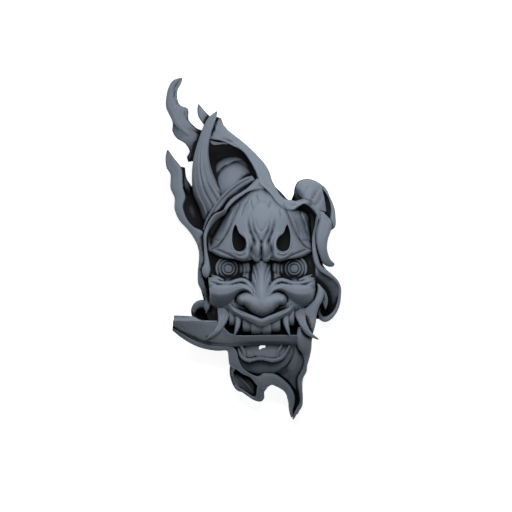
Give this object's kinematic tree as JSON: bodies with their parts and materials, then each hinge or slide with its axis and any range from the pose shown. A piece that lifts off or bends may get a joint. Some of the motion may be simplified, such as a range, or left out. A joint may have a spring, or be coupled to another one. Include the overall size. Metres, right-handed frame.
{
  "type": "oni mask",
  "caption": "Horned oni mask wrapped in a flame-like hood, with tusks, ringed eyes and a flat blade gripped in the teeth; hollow behind, for a wall or a shelf",
  "frame": {"origin": "centre of the outline, on the plane of the flat back that the mask lies on", "axes": "+X to the viewer's right, +Y from chin to hood, +Z out of the face"},
  "size_m": [0.2108, 0.4104, 0.1],
  "materials": {
    "mask_resin": "matt slate-grey cast resin, darker in the creases"
  },
  "bodies": {
    "root": {"oni_mask": "mask_resin"}
  },
  "joints": []
}
